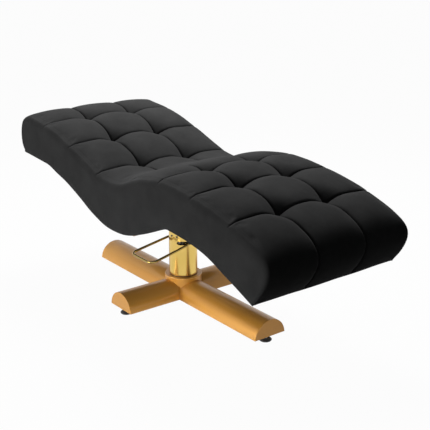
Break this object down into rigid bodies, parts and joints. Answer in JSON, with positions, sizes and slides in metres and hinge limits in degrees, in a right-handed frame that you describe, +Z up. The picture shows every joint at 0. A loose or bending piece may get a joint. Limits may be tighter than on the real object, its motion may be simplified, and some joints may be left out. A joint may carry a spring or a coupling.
{
  "type": "eyelash extension bed",
  "caption": "Wave-shaped treatment lounger with a tufted padded top, on a swivelling lift column with a foot-worked pedal loop and a cross base of half-round legs.",
  "frame": {"origin": "on the floor, under the middle of the bed's length and width", "axes": "+X from the head end to the foot end, +Y away from the pedal loop, +Z up"},
  "size_m": [1.795, 0.7, 0.7517],
  "materials": {
    "velvet": "black velvet over wadding, tufted",
    "foam": "cut foam",
    "plywood": "unfinished plywood",
    "dust_cloth": "black non-woven cloth",
    "satin_gold": "satin gold",
    "polished_gold": "polished gold plate",
    "bronze": "turned bronze",
    "steel": "plain steel",
    "pump_paint": "black paint",
    "black_plastic": "black, slightly matt",
    "rubber": "black rubber"
  },
  "bodies": {
    "base": {"leg_foot": "satin_gold", "leg_back": "satin_gold", "leg_head": "satin_gold", "leg_front": "satin_gold", "leg_cap_foot": "satin_gold", "leg_cap_back": "satin_gold", "leg_cap_head": "satin_gold", "leg_cap_front": "satin_gold", "leg_bolt_foot": "steel", "leg_bolt_back": "steel", "leg_bolt_head": "steel", "leg_bolt_front": "steel", "spider_plate": "steel", "hub_collar": "satin_gold", "pump_cylinder": "pump_paint", "pump_nut": "steel", "pump_head": "pump_paint", "guide_bush": "bronze", "seat_ring": "black_plastic", "pump_sleeve": "polished_gold", "sleeve_cap": "black_plastic", "wiper_seal": "rubber", "sleeve_screw_left": "black_plastic", "sleeve_screw_right": "black_plastic", "sleeve_screw_back": "black_plastic"},
    "glide_foot": {"glide_pad_foot": "black_plastic", "glide_stem_foot": "steel"},
    "glide_back": {"glide_pad_back": "black_plastic", "glide_stem_back": "steel"},
    "glide_head": {"glide_pad_head": "black_plastic", "glide_stem_head": "steel"},
    "glide_front": {"glide_pad_front": "black_plastic", "glide_stem_front": "steel"},
    "pedal": {"pedal_loop": "polished_gold", "rocker": "steel"},
    "plunger": {"plunger": "steel", "plunger_spring": "steel"},
    "lift": {"ram": "steel", "thrust_washer": "black_plastic", "swivel_nut": "steel"},
    "bed": {"mounting_plate": "steel", "plate_bolt_1": "steel", "plate_bolt_2": "steel", "plate_bolt_3": "steel", "plate_bolt_4": "steel", "mount_beam_head": "plywood", "mount_beam_foot": "plywood", "side_rail_front": "plywood", "side_rail_back": "plywood", "head_board": "plywood", "foot_board": "plywood", "rib_1": "plywood", "rib_2": "plywood", "rib_3": "plywood", "rib_4": "plywood", "rib_5": "plywood", "deck_board": "plywood", "foam_slab": "foam", "velvet_cover": "velvet", "dust_cover": "dust_cloth"}
  },
  "joints": [
    {"name": "column_lift", "type": "slide", "parent": "base", "child": "lift", "axis": [0, 0, 1], "range_m": [0, 0.145]},
    {"name": "bed_swivel", "type": "hinge", "parent": "lift", "child": "bed", "pos_m": [-0.0665, 0, 0.378], "axis": [0, 0, 1], "continuous": true},
    {"name": "pedal_hinge", "type": "hinge", "parent": "base", "child": "pedal", "pos_m": [-0.0665, -0.022, 0.27], "axis": [1, 0, 0], "range_deg": [-10, 22], "stiffness_Nm_per_rad": 14, "springref_deg": -1.83},
    {"name": "plunger_slide", "type": "slide", "parent": "base", "child": "plunger", "axis": [0, 0, -1], "range_m": [-0.0032, 0.007], "deforming": ["plunger_spring"]},
    {"name": "glide_screw_foot", "type": "slide", "parent": "base", "child": "glide_foot", "axis": [0, 0, -1], "range_m": [0, 0.01]},
    {"name": "glide_screw_back", "type": "slide", "parent": "base", "child": "glide_back", "axis": [0, 0, -1], "range_m": [0, 0.01]},
    {"name": "glide_screw_head", "type": "slide", "parent": "base", "child": "glide_head", "axis": [0, 0, -1], "range_m": [0, 0.01]},
    {"name": "glide_screw_front", "type": "slide", "parent": "base", "child": "glide_front", "axis": [0, 0, -1], "range_m": [0, 0.01]}
  ],
  "couplings": [
    {"joint": "plunger_slide", "follows": "pedal_hinge", "m_per_rad": 0.018}
  ]
}
